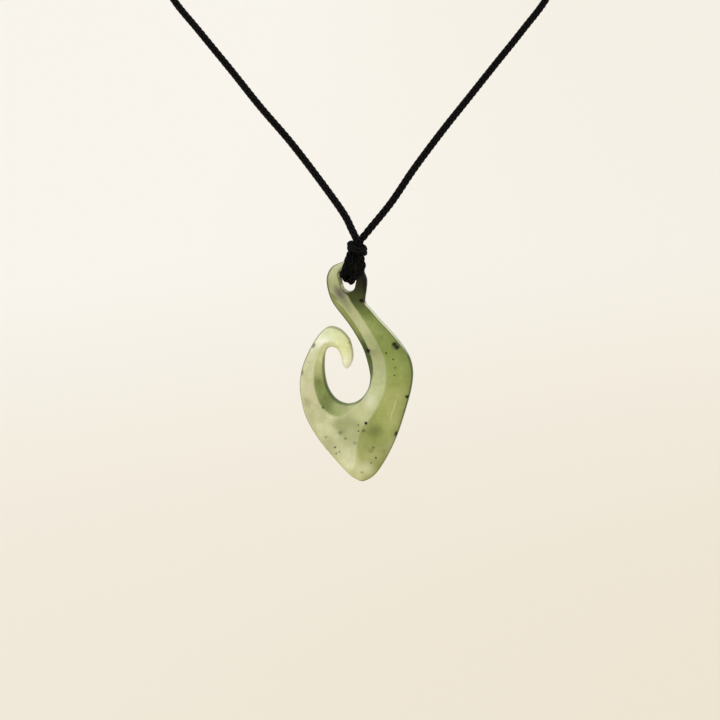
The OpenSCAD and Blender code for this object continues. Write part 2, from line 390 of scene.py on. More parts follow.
def attribute(tree, name, output="Fac"):
    """What the mesh carries under a name."""
    return put(tree, "ShaderNodeAttribute", output=output, attribute_name=name)


def axes(tree, vector):
    """A vector's three numbers."""
    return put(tree, "ShaderNodeSeparateXYZ", {0: vector}).node.outputs


def laid(tree, colour, share, strength, tint):
    """The colour with a tint over it, by a share times a strength."""
    return mixed(tree, work(tree, "MULTIPLY", share, strength), colour, tint)


def lined(tree, colour, gap, line, tint, place=1.0):
    """The colour with a tint along a line: the gaps where it is full and gone, its share and place."""
    full, none, share = line
    return laid(tree, colour, work(tree, "MULTIPLY", fading(tree, gap, full, none), place), share, tint)


def between(tree, share, low, high):
    """From one number to another as a share goes from 0 to 1."""
    return put(tree, "ShaderNodeMapRange", {"Value": share, "To Min": low, "To Max": high})


# The cord's wax and threads: tints, painted glints that stand in for highlights on the wax, mottles a metre,
# and the threads' lay along and round a strand
CORD_TINTS = ((3, 3, 3), (9, 8, 7))
CORD_GLINT = (34, 30, 30)
CORD_GLINT_SHARE = 0.35
WAX_SCALE = 700.0
GLINTS = (1900.0, 0.5, 0.75)
THREAD_LAY = 9000.0
THREAD_TURN = 5.0
THREAD_HEIGHT = 0.00004
CORD_ROUGHNESS = (0.5, 0.7)
CORD_FINISH = {"Specular IOR Level": 0.08}


def cord_material():
    """Black waxed thread, with painted glints in its wax in place of highlights."""
    made, tree, shader = material("black waxed cord", CORD_FINISH)
    around = axes(tree, attribute(tree, "around", "Vector"))
    turn = work(tree, "MULTIPLY", work(tree, "ARCTAN2", around[1], around[0]), THREAD_TURN)
    lay = work(tree, "SINE", work(tree, "MULTIPLY_ADD", attribute(tree, "along"), THREAD_LAY, turn))
    place = put(tree, "ShaderNodeTexCoord", output="Object")
    patches = mottle(tree, place, WAX_SCALE)
    colour = mixed(tree, patches, *(paint(tint) for tint in CORD_TINTS))
    # Painted glints: paler spots in the wax's colour where highlights would be
    colour = laid(tree, colour, mottle(tree, place, *GLINTS), CORD_GLINT_SHARE, paint(CORD_GLINT))
    tree.links.new(colour, shader.inputs["Base Color"])
    tree.links.new(between(tree, patches, *CORD_ROUGHNESS), shader.inputs["Roughness"])
    threads = put(tree, "ShaderNodeBump", {"Strength": 0.5, "Distance": THREAD_HEIGHT, "Height": lay})
    tree.links.new(threads, shader.inputs["Normal"])
    return made


CORD = cord_material()
PLAIT = plait_tree()


def make_neck_cord():
    """The two strands are one cord, which runs on through the closing knot."""
    route = eased(CORD_LEFT + CORD_RIGHT[::-1], ROUTE_STEPS)
    cord = plaited("neck_cord", route)
    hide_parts("cord_left", "cord_right")
    return cord, route


# The closing knot is a thinner cord whipped round the strands
NAPE_LENGTH = 0.009
NAPE_TURNS = 7
NAPE_STEPS = 24
NAPE_CORD_D = 0.0012
NAPE_RADIUS = 0.00145
NAPE_MIDDLE = Vector((0, 0.0021, 0))


def make_nape_knot():
    steps = NAPE_STEPS * NAPE_TURNS
    span = NAPE_LENGTH - NAPE_CORD_D
    points = []
    for i in range(steps + 1):
        share = i / steps
        turn = math.tau * NAPE_TURNS * share
        points.append(
            NAPE_MIDDLE
            + Vector((span * (share - 0.5), NAPE_RADIUS * math.cos(turn), NAPE_RADIUS * math.sin(turn)))
        )
    knot = plaited("nape_knot_wrap", points, NAPE_CORD_D)
    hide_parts("nape_knot")
    return knot


neck_cord, neck_route = make_neck_cord()
nape_knot = make_nape_knot()
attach(neck_cord, "root")
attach(nape_knot, "root")


# The stone: one row per rib, from the barb's tip round the bend and up the shank to the top of the eye,
# in millimetres in the stone's own frame, with the hang point as its origin.
# Columns: inner edge x, inner edge z, outer edge x, outer edge z, half thickness,
# inner facet line's place across the rib and its share of the half thickness,
# outer facet line's place across the rib and its share of the half thickness.
RIBS = [
    (-3.0, -31.5, -2.6, -31.5, 0.4, 0.40, 1.00, 0.60, 1.00),
    (-3.8, -30.6, -1.7, -30.4, 0.9, 0.22, 1.00, 0.60, 1.00),
    (-4.2, -28.6, -1.2, -28.2, 1.2, 0.20, 1.00, 0.60, 1.00),
    (-5.0, -26.9, -1.8, -25.0, 1.5, 0.26, 1.00, 0.62, 0.97),
    (-5.9, -26.4, -3.1, -23.0, 1.8, 0.28, 1.00, 0.62, 0.97),
    (-6.7, -26.3, -4.8, -21.7, 2.0, 0.28, 1.00, 0.62, 0.97),
    (-7.3, -26.6, -6.9, -21.3, 2.1, 0.30, 1.00, 0.62, 0.95),
    (-7.8, -27.3, -8.7, -22.4, 2.1, 0.40, 1.00, 0.64, 0.94),
    (-8.1, -28.5, -10.5, -24.7, 2.1, 0.46, 1.00, 0.74, 0.88),
    (-8.2, -30.0, -12.2, -27.8, 2.1, 0.46, 1.00, 0.80, 0.82),
    (-8.2, -31.8, -13.5, -31.1, 2.2, 0.45, 1.00, 0.84, 0.78),
    (-7.9, -34.0, -14.2, -35.0, 2.2, 0.43, 1.00, 0.86, 0.76),
    (-7.3, -36.2, -13.9, -39.0, 2.3, 0.43, 1.00, 0.86, 0.76),
    (-6.0, -38.3, -12.6, -43.8, 2.4, 0.41, 1.00, 0.86, 0.78),
    (-4.5, -39.5, -9.1, -49.6, 2.5, 0.32, 1.00, 0.88, 0.78),
    (-2.8, -40.0, -3.2, -56.3, 2.5, 0.14, 0.94, 0.90, 0.80),
    (-2.2, -40.0, -0.7, -58.3, 2.5, 0.10, 0.88, 0.85, 0.90),
    (-1.7, -39.9, 1.6, -58.8, 2.5, 0.07, 0.82, 0.51, 1.00),
    (-0.7, -39.6, 4.9, -56.2, 2.5, 0.05, 0.76, 0.35, 1.00),
    (0.9, -38.5, 8.9, -48.8, 2.6, 0.04, 0.72, 0.36, 1.00),
    (2.4, -36.2, 12.0, -39.3, 2.6, 0.04, 0.72, 0.40, 1.00),
    (2.9, -33.8, 13.1, -34.2, 2.6, 0.07, 0.78, 0.40, 1.00),
    (2.7, -31.8, 13.1, -31.0, 2.6, 0.12, 0.84, 0.42, 1.00),
    (2.1, -29.3, 12.3, -28.2, 2.6, 0.16, 0.88, 0.45, 1.00),
    (1.2, -26.6, 10.4, -25.2, 2.6, 0.18, 0.88, 0.47, 1.00),
    (-0.1, -24.1, 7.9, -22.2, 2.5, 0.21, 0.88, 0.51, 1.00),
    (-1.9, -21.2, 5.4, -19.6, 2.5, 0.25, 0.90, 0.56, 1.00),
    (-3.8, -18.7, 3.4, -17.3, 2.4, 0.27, 0.90, 0.61, 1.00),
    (-5.4, -16.7, 1.8, -15.5, 2.3, 0.29, 0.90, 0.63, 1.00),
    (-6.5, -15.0, 1.7, -14.2, 2.1, 0.17, 0.88, 0.57, 1.00),
    (-7.3, -12.8, 2.0, -12.2, 1.9, 0.10, 0.88, 0.50, 1.00),
    (-7.7, -10.3, 2.1, -9.8, 1.9, 0.14, 0.90, 0.60, 1.00),
    (-7.3, -8.3, 1.3, -7.6, 1.9, 0.20, 0.90, 0.64, 1.00),
    (-6.1, -6.7, 1.0, -5.9, 1.7, 0.22, 0.90, 0.66, 1.00),
    (-3.8, -5.7, 0.5, -4.6, 1.3, 0.24, 0.90, 0.70, 1.00),
    (-2.4, -5.2, -0.1, -4.3, 0.9, 0.24, 0.90, 0.70, 1.00),
]
LAST_RIB = len(RIBS) - 1
RIB_STEPS = 10
EDGE_SHARE = 0.30
SHOULDER = (0.05, 0.60)
BAND_CROWN = 0.04
BACK = ((0.94, -0.62), (0.76, -0.90), (0.50, -1.00), (0.24, -0.90), (0.06, -0.62))

# How far each corner of a rib is rounded, in millimetres: facet lines stay crisp, the rest runs smooth
CRISP = 0.25
SOFT = 0.5
SMOOTH = 9.0
CORNERS = [SOFT, SMOOTH, CRISP, SMOOTH, CRISP, SMOOTH, SMOOTH, SOFT, SOFT] + [SMOOTH] * 5 + [SOFT]
CORNER_LIMIT = 0.45
CORNER_STEPS = 4
FLAT_STEPS = 2

# Shares of bevel, outer facet and back on the stretch after each corner: colours change at the facet lines
ZONES = np.array(
    [(1, 0, 0)] * 2 + [(0, 0, 0)] * 2 + [(0, 1, 0)] * 3
    + [(0, 1, 0.5), (0, 1, 1), (0, 0.7, 1), (0, 0.7, 1), (0.3, 0, 1), (0.3, 0, 1), (1, 0, 1), (1, 0, 0.5)],
    float,
)

# The eye hole: egg-shaped, with its narrower end low, and its rim flared
HOLE_TOP = -7.1
HOLE_W = 4.1
HOLE_LOW_W = 3.1
HOLE_H = 5.7
HOLE_X = -2.3
HOLE_LOW_X = -2.2
HOLE_HIGH = np.array((HOLE_X, HOLE_TOP - HOLE_W / 2))
HOLE_LOW = np.array((HOLE_LOW_X, HOLE_TOP - HOLE_H + HOLE_LOW_W / 2))
HOLE_POINTS = 96
FLARE_SHIFT = np.array((-0.22, 0.42))
FLARE_START = 0.75
FLARE_DEPTH = 1.2
FRONT_FLARE = 0.42
BACK_FLARE = 0.36
FLARE_RINGS = (0, 0.2, 0.4, 0.6, 0.75, 0.87, 0.95)
PLUG_REACH = 4.0


def rib_outline(row):
    """The rib's corners across the stone: front from the inner to the outer edge, then the back."""
    inner = np.array((row[0], row[1]))
    outer = np.array((row[2], row[3]))
    half, line_in, high_in, line_out, high_out = row[4:]
    corners = [
        (0, EDGE_SHARE),
        (min(SHOULDER[0], line_in / 2), SHOULDER[1] * high_in),
        (line_in, high_in),
        ((line_in + line_out) / 2, (high_in + high_out) / 2 + BAND_CROWN),
        (line_out, high_out),
        ((line_out + 1) / 2, (high_out + SHOULDER[1]) / 2 + BAND_CROWN),
        (1 - SHOULDER[0], SHOULDER[1]),
        (1, EDGE_SHARE),
        (1, -EDGE_SHARE),
        *BACK,
        (0, -EDGE_SHARE),
    ]
    made = []
    for place, share in corners:
        spot = inner + (outer - inner) * place
        made.append((spot[0], -half * share, spot[1]))
    return np.array(made)


def rounded(corners):
    """Replaces each corner by a short arc. Gives the ring's points, and the zones' shares at each."""
    count = len(corners)
    arcs = []
    for i in range(count):
        here = corners[i]
        ends = []
        for other in (corners[i - 1], corners[(i + 1) % count]):
            step = other - here
            share = CORNERS[i] / max(np.linalg.norm(step), 1e-6)
            ends.append(here + step * min(share, CORNER_LIMIT))
        arcs.append(
            [
                ((1 - t) ** 2 * ends[0] + 2 * t * (1 - t) * here + t * t * ends[1],
                 (1 - t) * ZONES[i - 1] + t * ZONES[i])
                for t in np.linspace(0, 1, CORNER_STEPS)
            ]
        )
    made = []
    for i in range(count):
        made += arcs[i]
        last, first = arcs[i][-1][0], arcs[(i + 1) % count][0][0]
        for k in range(1, FLAT_STEPS + 1):
            made.append((last + (first - last) * k / (FLAT_STEPS + 1), ZONES[i]))
    return [point for point, _ in made], [zone for _, zone in made]


def hole_outline(grow, shift):
    """The hole's outline, made wider all round and shifted."""
    points = []
    for i in range(HOLE_POINTS):
        turn = math.tau * i / HOLE_POINTS
        way = np.array((math.cos(turn), math.sin(turn)))
        high = HOLE_HIGH + way * (HOLE_W / 2 + grow)
        low = HOLE_LOW + way * (HOLE_LOW_W / 2 + grow)
        points.append((high if high @ way > low @ way else low) + shift)
    return points


def skin_faces(rings, sides):
    """The faces of a closed tube of rings, with an end face at each end."""
    faces = []
    for i in range(rings - 1):
        for k in range(sides):
            right = (k + 1) % sides
            faces.append((i * sides + k, i * sides + right, (i + 1) * sides + right, (i + 1) * sides + k))
    faces.append(tuple(reversed(range(sides))))
    faces.append(tuple((rings - 1) * sides + k for k in range(sides)))
    return faces


def outward(mesh):
    """Turns all faces outwards."""
    shape = bmesh.new()
    shape.from_mesh(mesh)
    bmesh.ops.recalc_face_normals(shape, faces=shape.faces)
    shape.to_mesh(mesh)
    shape.free()


def hole_cutter():
    """A plug in the shape of the eye hole, with its rounded flare at the front and the back."""
    rings = []
    for face, flare in ((-1, FRONT_FLARE), (1, BACK_FLARE)):
        side = []
        for share in FLARE_RINGS:
            grow = flare * (1 - math.sqrt(1 - share * share))
            shift = FLARE_SHIFT * grow / flare if face < 0 else np.zeros(2)
            y = face * (FLARE_START + FLARE_DEPTH * share)
            side.append([(x, y, z) for x, z in hole_outline(grow, shift)])
        side.append([(x, face * PLUG_REACH, z) for x, _, z in side[-1]])
        rings += side if face > 0 else side[::-1]
    mesh = bpy.data.meshes.new("eye hole plug")
    points = [tuple(Vector(p) * MM) for ring in rings for p in ring]
    mesh.from_pydata(points, [], skin_faces(len(rings), HOLE_POINTS))
    mesh.transform(STONE_FRAME)
    outward(mesh)
    for face in mesh.polygons:
        face.material_index = 1
    return shown("eye_hole_plug", mesh)


# What each point of the stone carries for its colour: its zones, its gaps in millimetres from the rib's
# inner edge, outer edge and inner facet line, and its rib number
STONE_VALUES = ("bevel", "facet", "back", "inner_gap", "outer_gap", "ridge_gap", "rib")


def stone_blank():
    """The stone before its eye is drilled, with its values for the colour at each point."""
    rows = eased(RIBS, RIB_STEPS)
    points, values = [], []
    for number, row in enumerate(rows):
        ring, zones = rounded(rib_outline(row))
        start = np.array((row[0], row[1]))
        across = np.array((row[2], row[3])) - start
        width = np.linalg.norm(across)
        for point, zone in zip(ring, zones):
            gap = (np.array((point[0], point[2])) - start) @ across / width
            line_gap = abs(gap - row[5] * width)
            points.append(tuple(Vector(point) * MM))
            values.append((*zone, gap, width - gap, line_gap, number / RIB_STEPS))
    mesh = bpy.data.meshes.new("hook")
    mesh.from_pydata(points, [], skin_faces(len(rows), len(ring)))
    mesh.transform(STONE_FRAME)
    outward(mesh)
    return mesh, np.array(values)


def cut(mesh, plug):
    """The mesh with the plug's shape cut out of it. The new faces take the second slot."""
    piece = shown("stone_blank", mesh)
    for part in (piece, plug):
        part.data.materials.append(None)
        part.data.materials.append(None)
    modifier = piece.modifiers.new("eye hole", "BOOLEAN")
    modifier.operation = "DIFFERENCE"
    modifier.solver = "EXACT"
    modifier.object = plug
    made = settled(piece)
    bpy.data.objects.remove(plug)
    return made


def carried(blank, values, mesh):
    """The values given at the blank's points, at the points of the mesh that was cut from it."""
    faces = [tuple(face.vertices) for face in blank.polygons]
    points = [vertex.co.copy() for vertex in blank.vertices]
    finder = BVHTree.FromPolygons(points, faces)
    rows = []
    for vertex in mesh.vertices:
        spot, _, number, _ = finder.find_nearest(vertex.co)
        corners = faces[number]
        shares = poly_3d_calc([points[c] for c in corners], spot)
        rows.append(np.dot(shares, values[list(corners)]))
    return np.array(rows)


def put_attribute(mesh, name, values, domain="POINT"):
    made = mesh.attributes.new(name, "FLOAT", domain)
    made.data.foreach_set("value", np.array(values, np.float32))


# Tints of the stone, as they look on a screen, and what makes up for the light lost inside it
STONE_LIGHTNESS = (1.03, 1.035, 1.10)
CREAM = (232, 230, 204)
PALE = (212, 213, 168)
MILKY = (198, 200, 156)
OLIVE = (140, 146, 88)
LEAF = (146, 157, 86)
MOSS = (104, 116, 60)
DEEP = (52, 58, 32)
INK = (14, 15, 5)
GREY = (124, 126, 90)
VIOLET = (104, 98, 86)
# Painted highlight on the front of the shank's upper right edge, and painted sheen down its side wall
EDGE_FRONT_HIGHLIGHT = (212, 219, 178)
EDGE_SIDE_SHEEN = (174, 172, 134)
STONE_INSIDE = (226, 230, 164)
BROWN = (112, 96, 62)

# Each zone's tint from the barb's tip round to the eye, the stone's own tone with painted light and shade of
# facets turned to or from the light: rib number and tint
BAND_TINTS = [
    (0, (240, 236, 214)), (3, (225, 227, 169)), (5, (223, 226, 181)), (7, (236, 236, 214)),
    (8.5, (205, 205, 164)), (11, (197, 196, 154)), (13, (192, 190, 146)), (14.2, (211, 212, 169)),
    (16.5, (206, 205, 162)), (18, (192, 193, 142)), (19, (182, 185, 134)), (20, (182, 190, 140)),
    (22, (172, 178, 129)), (24, (164, 167, 118)), (26, (182, 186, 138)), (28, (170, 170, 122)),
    (30, (168, 170, 123)), (32, (182, 186, 136)), (35, PALE),
]
BEVEL_TINTS = [
    (0, (240, 236, 214)), (3, (223, 226, 169)), (6, (214, 215, 168)), (8.5, (208, 210, 156)),
    (10, (177, 181, 122)), (11.3, (142, 148, 88)), (12, (136, 148, 86)), (13, (122, 132, 76)),
    (14, (160, 167, 112)), (15, (178, 184, 132)), (16.5, (192, 195, 145)), (19, (182, 186, 134)),
    (20.5, (125, 138, 82)), (22, (96, 108, 60)), (24, (64, 75, 31)), (26, (140, 148, 88)), (28, OLIVE),
    (29.3, OLIVE), (30.3, (152, 154, 108)), (32, (176, 179, 132)), (35, PALE),
]
FACET_TINTS = [
    (0, (240, 236, 214)), (3, (225, 227, 169)), (6, (217, 220, 174)), (7.5, (230, 230, 202)),
    (9, (204, 206, 164)), (13, (192, 190, 146)), (15, (205, 203, 152)), (16.5, (198, 198, 142)),
    (17.3, (158, 163, 96)), (18.3, (142, 149, 82)), (19.2, (160, 166, 96)), (20, (168, 173, 104)),
    (21, (150, 159, 88)), (22, LEAF), (24, (130, 143, 74)), (26, (145, 155, 88)), (27, (112, 124, 64)),
    (28, (82, 89, 50)), (29, (64, 71, 31)), (31, (34, 32, 12)), (33, (34, 34, 14)), (35, (50, 55, 30)),
]
# Tints along the inner and outer edges, mostly painted shade darker than the faces: rib number and tint
INNER_RIM_TINTS = [
    (0, CREAM), (4, (206, 208, 155)), (7, (172, 174, 116)), (9, (112, 118, 68)), (12, (85, 96, 54)),
    (15, (100, 111, 64)), (17, (95, 107, 62)), (20, (72, 88, 48)), (24, (72, 85, 46)), (28, (66, 76, 38)),
    (30, (62, 70, 34)), (33, (74, 82, 42)), (35, (100, 106, 60)),
]
OUTER_RIM_TINTS = [
    (0, CREAM), (3, (196, 198, 146)), (6.5, (156, 158, 106)), (8, (104, 104, 62)),
    (10, (80, 82, 47)), (13, (110, 111, 68)), (16, (140, 139, 88)), (18, (116, 122, 68)), (20, (54, 75, 28)),
    (23, (60, 82, 34)), (28, (48, 52, 24)), (31, (20, 15, 4)), (35, (45, 48, 28)),
]

# Where the eye hole's flare meets the front face: outwards from the hole's narrowest part, and its shift
RIM_GAP = 0.29
RIM_SHIFT = (-0.15, 0.29)

# What lies along an edge or a line, painted shade and painted highlights among them: the gaps in millimetres
# where it is full and gone, and its share
OUTER_SHADE = (0.5, 3.0, 0.3)
INNER_RIM = (0.18, 0.70, 0.9)
OUTER_RIM = (0.12, 0.50, 0.85)
# Painted highlight along the inner facet line
RIDGE_HIGHLIGHT = (0.05, 0.30, 0.35)
EDGE_SHADE_LINE = (0.30, 0.60, 0.6)
HOLE_RIM_LINE = (0.04, 0.26, 0.65)
# The painted edge highlight's width, and the share of its painted sheen down the side wall
EDGE_HIGHLIGHT_WIDTH = (0.16, 0.28)
EDGE_SIDE_SHEEN_SHARE = 0.8
STAIN_SHARE = 0.38

# Stretches of ribs: where one starts, is full, starts to fade and ends
OUTER_SHADE_RIBS = (18, 20, 27, 29)
RIDGE_HIGHLIGHT_RIBS = (0, 3, 29.2, 30.2)
EDGE_HIGHLIGHT_RIBS = (23.0, 25.0, 27.8, 28.2)

# Depths through the stone, in millimetres from its middle and negative at the front: full and gone
FRONT_DEPTH = (-1.1, -0.2)
BACK_DEPTH = (1.6, 0.9)
COAT_AND_SHEEN_DEPTH = (0.1, 0.9)
EDGE_FRONT_HIGHLIGHT_DEPTH = (-0.55, -0.30)

# Mottles of the stone: scale, where they start and are full, and detail, with their tones
HAZE = (0.35, 0.35, 0.75)
HAZE_TONE = (0.84, 0.88, 0.80)
CURDS = (1.1, 0.45, 0.8)
CURDS_TONE = (1.14, 1.12, 1.16)
FIBRES = (1.0, 0.45, 0.8, 2.0)
FIBRES_TONE = (1.06, 1.055, 1.065)
FIBRES_LEAN = 0.25
FIBRES_DRAWN = (2.6, 1.0, 0.22)
WAVER_SCALE = 1.3
WAVER_REACH = 0.4
STAINS = (1.4, 0.45, 0.65)
RUBBED = (0.8, 0.3, 0.7)
STONE_ROUGHNESS = (0.24, 0.36)
STONE_FINISH = {
    "Coat Roughness": 0.12,
    "Specular IOR Level": 0.13,
    "Subsurface Weight": 0.2,
    "Subsurface Radius": (1.0, 1.0, 0.6),
    "Subsurface Scale": 0.0005,
}

# Clouds and specks in the stone, with one painted shadow by the eye, in its own frame in millimetres, and
# how much of them the back shows.
# Columns: middle x, middle z, half width, half height, turn in degrees, softness, share, tint
BACK_SHARE = 0.35
PATCHES = [
    (-1.6, -45.6, 5.0, 8.6, 0, 0.7, 0.60, (146, 154, 96)),
    (-6.6, -49.8, 3.6, 4.8, 30, 0.9, 0.60, (150, 152, 100)),
    (3.8, -52.0, 4.6, 3.8, 0, 1.0, 0.42, (190, 190, 135)),
    (8.8, -44.0, 2.2, 3.6, -20, 1.0, 0.35, (190, 192, 130)),
    (-4.8, -44.7, 3.4, 3.0, 0, 1.0, 0.65, OLIVE),
    (0.6, -44.4, 3.0, 2.4, 0, 1.0, 0.35, OLIVE),
    (0.4, -42.4, 2.8, 5.0, 35, 1.0, 0.50, (208, 210, 160)),
    (3.2, -38.8, 2.6, 4.4, -10, 1.0, 0.56, (222, 223, 186)),
    (-8.0, -44.0, 2.0, 2.8, 10, 1.0, 0.24, OLIVE),
    (-3.6, -46.6, 1.9, 1.8, 0, 1.0, 0.38, GREY),
    (-1.6, -44.6, 2.4, 2.0, 0, 1.0, 0.35, OLIVE),
    (-2.5, -51.5, 2.6, 2.6, 0, 1.0, 0.10, CREAM),
    (4.4, -46.2, 3.0, 2.6, 0, 0.9, 0.70, MOSS),
    (2.0, -50.4, 2.0, 2.6, 0, 1.0, 0.32, OLIVE),
    (8.6, -40.8, 2.4, 4.2, -15, 1.0, 0.18, (182, 184, 116)),
    (8.0, -49.6, 2.0, 4.0, -30, 1.0, 0.30, MILKY),
    (1.8, -55.6, 3.6, 3.0, 0, 1.0, 0.75, PALE),
    (3.7, -27.2, 2.2, 1.5, 0, 1.0, 0.45, GREY),
    (-4.2, -13.2, 1.8, 3.4, 37, 0.9, 0.94, VIOLET),
    (-5.7, -14.0, 0.75, 2.2, 42, 0.9, 0.75, MOSS),
    (-2.9, -12.9, 0.45, 1.5, 50, 0.9, 0.90, DEEP),
    (-2.6, -15.6, 1.6, 2.6, 37, 1.0, 0.50, GREY),
    # Painted shadow of the lashing and painted shade where the eye's right side turns from the light
    (1.9, -10.6, 1.3, 4.4, 0, 0.9, 0.85, (14, 9, 3)),
    (-9.6, -35.0, 1.6, 2.2, 0, 1.0, 0.45, MOSS),
    (-7.0, -41.0, 1.6, 3.2, 50, 1.0, 0.45, MOSS),
    (-12.2, -39.6, 1.6, 2.2, 20, 1.0, 0.35, BROWN),
    (8.85, -40.4, 0.28, 5.0, -17, 0.9, 0.28, CREAM),
    (3.3, -51.1, 1.2, 1.0, 0, 1.0, 0.55, MOSS),
    (5.8, -23.5, 0.9, 0.9, 0, 1.0, 0.55, MOSS),
    (-2.0, -25.1, 0.8, 0.8, 0, 1.0, 0.50, OLIVE),
    (-10.6, -25.9, 0.6, 1.2, -38, 1.0, 0.80, DEEP),
    (-13.6, -32.4, 0.8, 1.2, 0, 1.0, 0.80, DEEP),
    (-9.5, -34.5, 0.9, 0.9, 0, 1.0, 0.50, MOSS),
    (-7.9, -38.5, 1.0, 0.9, 0, 1.0, 0.55, MOSS),
    (-4.1, -46.8, 0.8, 0.7, 0, 1.0, 0.70, VIOLET),
    (-2.8, -48.2, 0.6, 0.6, 0, 1.0, 0.65, DEEP),
    (-0.5, -49.2, 0.9, 0.7, 0, 1.0, 0.50, VIOLET),
    (1.6, -46.2, 0.7, 0.6, 0, 1.0, 0.75, DEEP),
    (-4.3, -51.6, 0.5, 0.4, 30, 0.9, 0.65, DEEP),
    (-5.1, -52.0, 0.5, 0.4, 30, 0.9, 0.65, DEEP),
    (-7.6, -48.0, 0.6, 0.4, 30, 0.9, 0.55, BROWN),
    (3.9, -50.3, 0.6, 0.6, 0, 0.9, 0.55, DEEP),
    (6.4, -51.2, 0.6, 0.5, 0, 1.0, 0.50, BROWN),
    (1.1, -56.5, 0.7, 0.5, 0, 1.0, 0.75, OLIVE),
    (0.95, -14.8, 0.74, 0.66, 0, 0.65, 1.0, INK),
    (2.6, -26.8, 0.95, 0.80, 30, 0.8, 1.0, INK),
    (8.9, -25.1, 0.90, 0.80, 0, 0.80, 1.0, INK),
    (9.5, -25.8, 0.92, 0.90, 0, 0.80, 1.0, INK),
    (9.2, -25.5, 1.6, 1.2, 45, 1.0, 0.50, DEEP),
    (12.0, -37.8, 0.85, 0.60, 0, 0.8, 1.0, INK),
    (2.2, -44.3, 0.55, 0.50, 0, 0.7, 1.0, INK),
    (9.3, -46.9, 0.60, 1.00, -20, 0.8, 1.0, INK),
    (7.0, -27.2, 0.38, 0.34, 0, 0.8, 0.90, INK),
    (8.7, -28.7, 0.36, 0.34, 0, 0.8, 0.80, INK),
    (9.2, -30.7, 0.36, 0.32, 0, 0.8, 0.75, INK),
    (9.0, -32.6, 0.38, 0.38, 0, 0.8, 0.75, INK),
    (0.3, -44.8, 0.34, 0.30, 0, 0.8, 0.80, INK),
    (0.3, -46.3, 0.36, 0.34, 0, 0.8, 0.80, INK),
    (-5.4, -50.5, 0.42, 0.32, 20, 0.8, 0.90, INK),
    (-8.3, -40.8, 0.42, 0.38, 0, 0.8, 0.90, DEEP),
    (4.5, -52.8, 0.36, 0.36, 0, 0.7, 1.0, INK),
    (3.3, -54.1, 0.34, 0.34, 0, 0.8, 0.70, DEEP),
]


def tint_ramp(tree, place, stops):
    """The tints of one zone along the stone."""
    node = tree.nodes.new("ShaderNodeValToRGB")
    tree.links.new(place, node.inputs[0])
    ramp = node.color_ramp
    ramp.interpolation = "EASE"
    while len(ramp.elements) < len(stops):
        ramp.elements.new(0.5)
    for element, (rib, tint) in zip(ramp.elements, stops):
        element.position = rib / LAST_RIB
        element.color = paint(tint)
    return node.outputs[0]


def patch_group():
    """A soft-edged oval spot on the stone's front, from 0 to 1."""
    tree, given, result = new_tree(
        "patch",
        "ShaderNodeTree",
        {
            "Place": (VECTOR, None),
            "Middle": (VECTOR, (0, 0, 0)),
            "Half size": (VECTOR, (1, 1, 1)),
            "Turn": (NUMBER, 0.0),
            "Softness": (NUMBER, 0.5),
            "Share": (NUMBER, 1.0),
        },
        {"Share": NUMBER},
    )
    place = put(
        tree, "ShaderNodeVectorRotate",
        {"Vector": given["Place"], "Center": given["Middle"], "Angle": given["Turn"]},
        rotation_type="Y_AXIS",
    )
    place = vector_work(tree, "SUBTRACT", place, given["Middle"])
    place = vector_work(tree, "MULTIPLY", place, (1, 0, 1))
    reach = vector_work(tree, "LENGTH", vector_work(tree, "DIVIDE", place, given["Half size"]), output=1)
    full = work(tree, "SUBTRACT", 1.0, given["Softness"])
    share = work(tree, "MULTIPLY", fading(tree, reach, full, 1.0), given["Share"])
    tree.links.new(share, result["Share"])
    return tree


def toned(tree, share, colour, tone):
    """The colour made paler or darker by a share."""
    return mixed(tree, share, colour, (*tone, 1), "MULTIPLY")


def stretch(tree, start, full, still, end):
    """1 on a stretch of ribs, fading evenly to 0 at its two ends."""
    rib = attribute(tree, "rib")
    rise = fading(tree, rib, full, start, "LINEAR")
    fall = fading(tree, rib, still, end, "LINEAR")
    return work(tree, "MINIMUM", rise, fall)


def hole_gap_group():
    """How far a place on the front lies outside the eye hole's flared rim, in millimetres."""
    tree, given, result = new_tree(
        "hole gap",
        "ShaderNodeTree",
        {
            "Place": (VECTOR, None),
            "High end": (VECTOR, (HOLE_HIGH[0] + RIM_SHIFT[0], 0, HOLE_HIGH[1] + RIM_SHIFT[1])),
            "Low end": (VECTOR, (HOLE_LOW[0] + RIM_SHIFT[0], 0, HOLE_LOW[1] + RIM_SHIFT[1])),
            "High radius": (NUMBER, HOLE_W / 2),
            "Low radius": (NUMBER, HOLE_LOW_W / 2),
        },
        {"Gap": NUMBER},
    )
    place = vector_work(tree, "MULTIPLY", given["Place"], (1, 0, 1))
    from_high = vector_work(tree, "SUBTRACT", place, given["High end"])
    run = vector_work(tree, "SUBTRACT", given["Low end"], given["High end"])
    along = vector_work(tree, "DOT_PRODUCT", from_high, run, 1)
    along = work(tree, "DIVIDE", along, vector_work(tree, "DOT_PRODUCT", run, run, 1), clamp=True)
    off = vector_work(tree, "SUBTRACT", from_high, scaled(tree, run, along))
    radius = between(tree, along, given["High radius"], given["Low radius"])
    gap = work(tree, "SUBTRACT", vector_work(tree, "LENGTH", off, output=1), radius)
    tree.links.new(gap, result["Gap"])
    return tree


def zone_tints(tree, rib):
    """The band's, the bevel's and the outer facet's tints, with their painted light and shade, and painted
    shade darker towards the shank's outer edge.
    """
    colour = tint_ramp(tree, rib, BAND_TINTS)
    colour = mixed(tree, attribute(tree, "bevel"), colour, tint_ramp(tree, rib, BEVEL_TINTS))
    colour = mixed(tree, attribute(tree, "facet"), colour, tint_ramp(tree, rib, FACET_TINTS))
    shaded = stretch(tree, *OUTER_SHADE_RIBS)
    return lined(tree, colour, attribute(tree, "outer_gap"), OUTER_SHADE, paint(MOSS), shaded)


